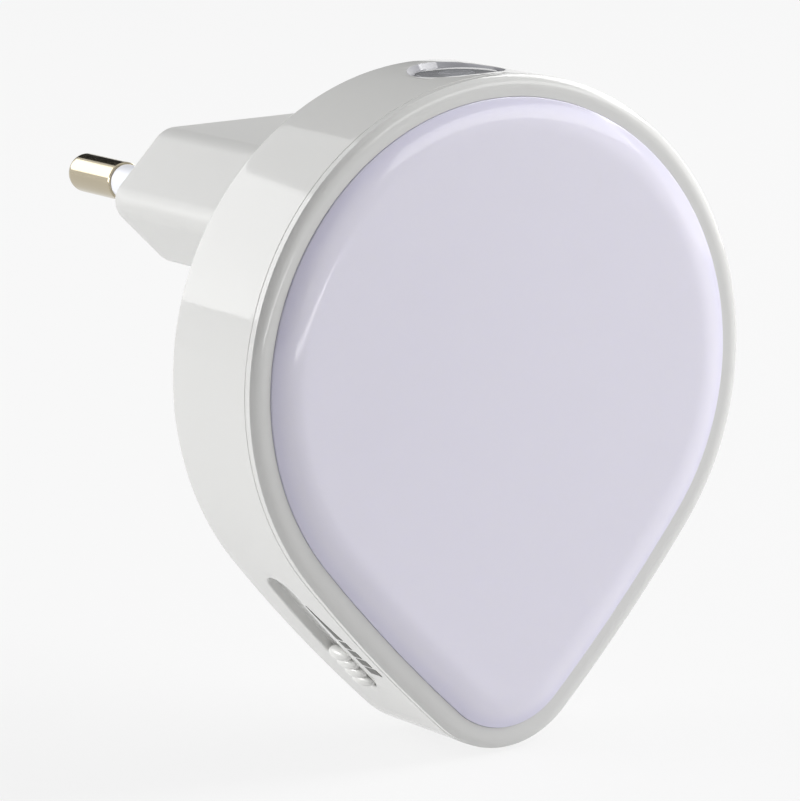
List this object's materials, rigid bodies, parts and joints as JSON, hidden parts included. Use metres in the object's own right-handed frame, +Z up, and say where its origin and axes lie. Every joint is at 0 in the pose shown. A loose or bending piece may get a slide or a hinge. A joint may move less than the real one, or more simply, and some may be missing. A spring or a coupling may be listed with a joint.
{
  "type": "plug-in night light",
  "caption": "Drop-shaped plug-in night light: opal front in a bezel ring, plug body with sleeved pins behind, light sensor window on top, slide dimmer on the lower flank",
  "frame": {"origin": "centre of the face of the plug body that the pins stand on, midway between the pins", "axes": "+Y points into the socket along the pins, -Y is the side the lamp shines to, +Z is up with the lamp hanging tip down, +X is to the right when the lamp is seen from the front"},
  "size_m": [0.0568, 0.0635, 0.0654],
  "materials": {
    "shell": "fine satin",
    "opal": "satin, light passes through",
    "reflector": "matt",
    "white_board": "solder mask",
    "led": "phosphor dome",
    "steel": "zinc plated",
    "clear": "clear",
    "black": "matt",
    "cell": "tinted resin",
    "tin": "tinned wire",
    "green_board": "solder mask",
    "chip": "moulded",
    "resistor": "coated",
    "film": "boxed",
    "can": "shrink sleeve",
    "nickel": "nickel plated brass",
    "sleeve": "moulded",
    "retainer": "moulded",
    "brown_wire": "insulation",
    "blue_wire": "insulation",
    "case_steel": "stamped",
    "track": "resistive print",
    "contact": "spring bronze",
    "carrier": "moulded",
    "knob": "satin"
  },
  "bodies": {
    "lamp": {"rear_housing": "shell", "bezel_ring": "shell", "diffuser": "opal", "light_tray": "reflector", "led_board": "white_board", "leds": "led", "tray_screws": "steel", "sensor_window": "clear", "sensor_shroud": "black", "photocell": "cell", "photocell_leads": "tin", "main_board": "green_board", "board_screws": "steel", "board_link": "black", "bridge_rectifier": "chip", "controller_chip": "chip", "chip_resistors": "chip", "fusible_resistor": "resistor", "dropper_capacitor": "film", "smoothing_capacitor": "can", "left_pin": "nickel", "right_pin": "nickel", "left_sleeve": "sleeve", "right_sleeve": "sleeve", "pin_retainer": "retainer", "left_wire": "brown_wire", "right_wire": "blue_wire", "dimmer_case": "case_steel", "dimmer_track": "track", "dimmer_terminals": "tin"},
    "dimmer_slider": {"dimmer_carrier": "carrier", "dimmer_wiper": "contact", "dimmer_knob": "knob"}
  },
  "joints": [
    {"name": "dimmer_slide", "type": "slide", "parent": "lamp", "child": "dimmer_slider", "axis": [-0.669, 0, 0.7433], "range_m": [0, 0.01]}
  ]
}
